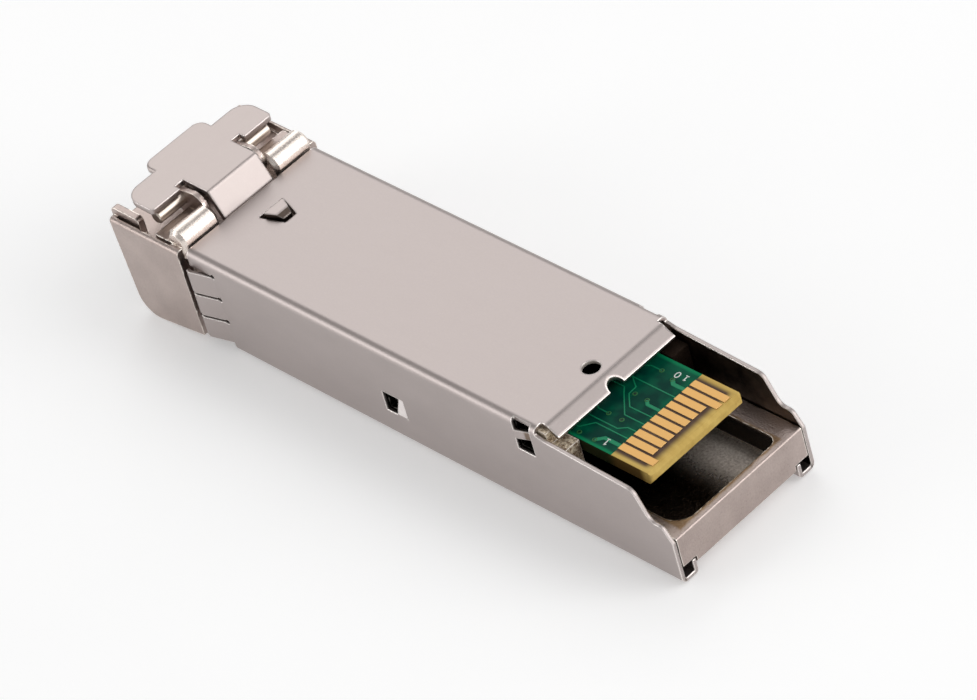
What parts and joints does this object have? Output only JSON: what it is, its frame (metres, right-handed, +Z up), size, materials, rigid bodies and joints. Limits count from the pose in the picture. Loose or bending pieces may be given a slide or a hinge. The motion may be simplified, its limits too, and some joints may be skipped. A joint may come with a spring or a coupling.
{
  "type": "pluggable optical transceiver module",
  "caption": "Slim pluggable fibre transceiver: sheet-metal cover over a die-cast body, twin fibre ports under a sprung finger-lift latch, and a gold-fingered board edge in an open rear bay.",
  "frame": {"origin": "bottom centre of the module's bounding box, as it lies on its label side", "axes": "+X towards the board end, +Y across to the side seen furthest away in the picture, +Z up through the latch side"},
  "size_m": [0.0556, 0.0144, 0.0106],
  "materials": {
    "die_cast": "zinc die-casting with a satin nickel plating, fine cast grain",
    "cover_sheet": "stamped nickel-plated sheet, satin, bright at the folds",
    "latch_sheet": "stamped nickel-plated sheet, satin",
    "pin_steel": "ground and polished steel",
    "spring_steel": "rolled spring steel",
    "board_laminate": "green solder mask over glass-epoxy laminate",
    "contact_gold": "gold plating over copper",
    "barrel_steel": "turned stainless steel",
    "zirconia": "polished zirconia",
    "can_gilt": "gold-plated header can",
    "clamp_steel": "stamped stainless sheet",
    "polyimide": "amber flexible circuit",
    "chip_epoxy": "moulded black epoxy",
    "passive_ceramic": "fired ceramic with tinned ends",
    "inductor_ferrite": "ferrite with tinned ends"
  },
  "bodies": {
    "module": {"base_housing": "die_cast", "cover_shell": "cover_sheet", "pivot_pin": "pin_steel", "latch_spring": "spring_steel", "circuit_board": "board_laminate", "upper_contacts": "contact_gold", "lower_contacts": "contact_gold", "transmit_barrel": "barrel_steel", "receive_barrel": "barrel_steel", "transmit_sleeve": "zirconia", "receive_sleeve": "zirconia", "transmit_can": "can_gilt", "receive_can": "can_gilt", "barrel_clamp": "clamp_steel", "transmit_flex": "polyimide", "receive_flex": "polyimide", "laser_driver": "chip_epoxy", "limiting_amplifier": "chip_epoxy", "controller_chip": "chip_epoxy", "chip_passives": "passive_ceramic", "supply_inductors": "inductor_ferrite"},
    "latch": {"latch_lever": "latch_sheet"}
  },
  "joints": [
    {"name": "latch_hinge", "type": "hinge", "parent": "module", "child": "latch", "pos_m": [-0.02372, 0, 0.0094], "axis": [0, 1, 0], "range_deg": [0, 5], "stiffness_Nm_per_rad": 0.06, "springref_deg": -6.88, "deforming": ["latch_spring"]}
  ]
}
